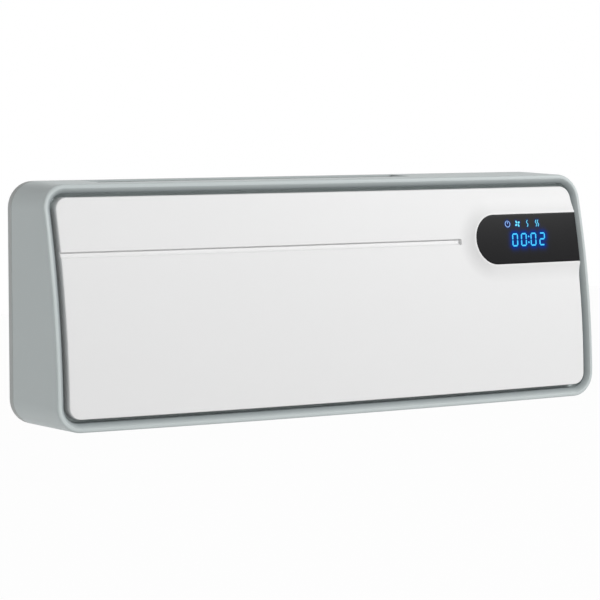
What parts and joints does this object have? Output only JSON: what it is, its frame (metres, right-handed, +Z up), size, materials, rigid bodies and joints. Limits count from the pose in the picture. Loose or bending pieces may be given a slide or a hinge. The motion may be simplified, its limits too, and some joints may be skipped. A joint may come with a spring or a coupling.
{
  "type": "wall fan heater",
  "caption": "Long wall-hung bathroom fan heater: grey casing, floating white front panel, black display window, top intake with filter, louvred outlet underneath.",
  "frame": {"origin": "middle of the back, on the wall plane, at half the body's height", "axes": "+Z up, the front faces -Y, +X to the right as seen from the front"},
  "size_m": [0.5, 0.0884, 0.186],
  "materials": {
    "casing_plastic": "fine satin moulding, light grey",
    "cover_plastic": "fine satin moulding, a little darker grey",
    "panel_plastic": "white, half gloss",
    "window_plastic": "smooth black",
    "lit_digits": "lit light guides, blue",
    "lit_icons": "lit light guides, blue",
    "grille_plastic": "satin grey",
    "duct_plastic": "satin dark grey",
    "fan_plastic": "satin",
    "mesh_nylon": "woven nylon",
    "galvanised_steel": "zinc plated sheet",
    "screw_steel": "zinc plated",
    "shaft_steel": "ground",
    "lamination_steel": "stacked sheet",
    "bearing_bronze": "sintered bronze",
    "terminal_brass": "bright",
    "coil_copper": "enamelled copper wire under tape",
    "heater_aluminium": "mill finish",
    "heater_block_plastic": "heat-proof moulding",
    "mount_rubber": "matt",
    "gland_rubber": "matt",
    "black_plastic": "satin",
    "switch_plastic": "satin black",
    "holder_plastic": "satin white",
    "board_laminate": "green solder resist",
    "terminal_plastic": "satin green",
    "capacitor_plastic": "gloss yellow",
    "fuse_body": "matt",
    "lead_black": "soft insulation",
    "lead_red": "soft insulation",
    "lead_white": "soft insulation",
    "lead_blue": "soft insulation"
  },
  "bodies": {
    "housing": {"wall_bracket": "galvanised_steel", "rear_cover": "cover_plastic", "casing": "casing_plastic", "cover_screws": "screw_steel", "front_panel": "panel_plastic", "panel_screws": "screw_steel", "display_window": "window_plastic", "display_digits": "lit_digits", "display_icons": "lit_icons", "display_module": "black_plastic", "display_board": "board_laminate", "display_holder": "holder_plastic", "infrared_receiver": "black_plastic", "intake_frame": "duct_plastic", "fan_scroll": "duct_plastic", "stabiliser": "duct_plastic", "duct_end_left": "duct_plastic", "duct_end_right": "duct_plastic", "axle_bush": "bearing_bronze", "bush_mount": "mount_rubber", "motor_stator": "lamination_steel", "motor_coil": "coil_copper", "motor_bracket_inner": "galvanised_steel", "motor_bracket_outer": "galvanised_steel", "motor_bearings": "bearing_bronze", "motor_screws": "screw_steel", "motor_spacers": "mount_rubber", "heater_bars": "heater_aluminium", "heater_fins": "heater_aluminium", "heater_blocks": "heater_block_plastic", "heater_terminals": "terminal_brass", "thermostat": "galvanised_steel", "thermal_fuse": "fuse_body", "outlet_frame": "duct_plastic", "outlet_guard": "duct_plastic", "louvre_motor": "galvanised_steel", "louvre_motor_screws": "screw_steel", "control_board": "board_laminate", "relays": "black_plastic", "terminal_blocks": "terminal_plastic", "filter_capacitor": "capacitor_plastic", "buzzer": "black_plastic", "board_screws": "screw_steel", "switch_housing": "switch_plastic", "cord_gland": "gland_rubber", "display_cable": "lead_black", "heater_leads": "lead_red", "motor_leads": "lead_white", "louvre_leads": "lead_blue", "switch_leads": "lead_black"},
    "fan": {"fan_rotor": "fan_plastic", "motor_shaft": "shaft_steel", "fan_axle": "shaft_steel", "motor_rotor": "shaft_steel"},
    "louvre": {"outlet_louvre": "grille_plastic", "louvre_motor_shaft": "shaft_steel"},
    "filter": {"filter_cassette": "grille_plastic", "filter_mesh": "mesh_nylon"},
    "rocker": {"switch_rocker": "switch_plastic"}
  },
  "joints": [
    {"name": "fan_spin", "type": "hinge", "parent": "housing", "child": "fan", "pos_m": [0, -0.034, 0.022], "axis": [1, 0, 0], "continuous": true},
    {"name": "louvre_swing", "type": "hinge", "parent": "housing", "child": "louvre", "pos_m": [0, -0.03, -0.084], "axis": [1, 0, 0], "range_deg": [0, 80]},
    {"name": "filter_lift", "type": "slide", "parent": "housing", "child": "filter", "axis": [0, 0, 1], "range_m": [0, 0.02]},
    {"name": "switch_tip", "type": "hinge", "parent": "housing", "child": "rocker", "pos_m": [0.246, -0.04, -0.05], "axis": [0, 1, 0], "range_deg": [0, 16]}
  ]
}
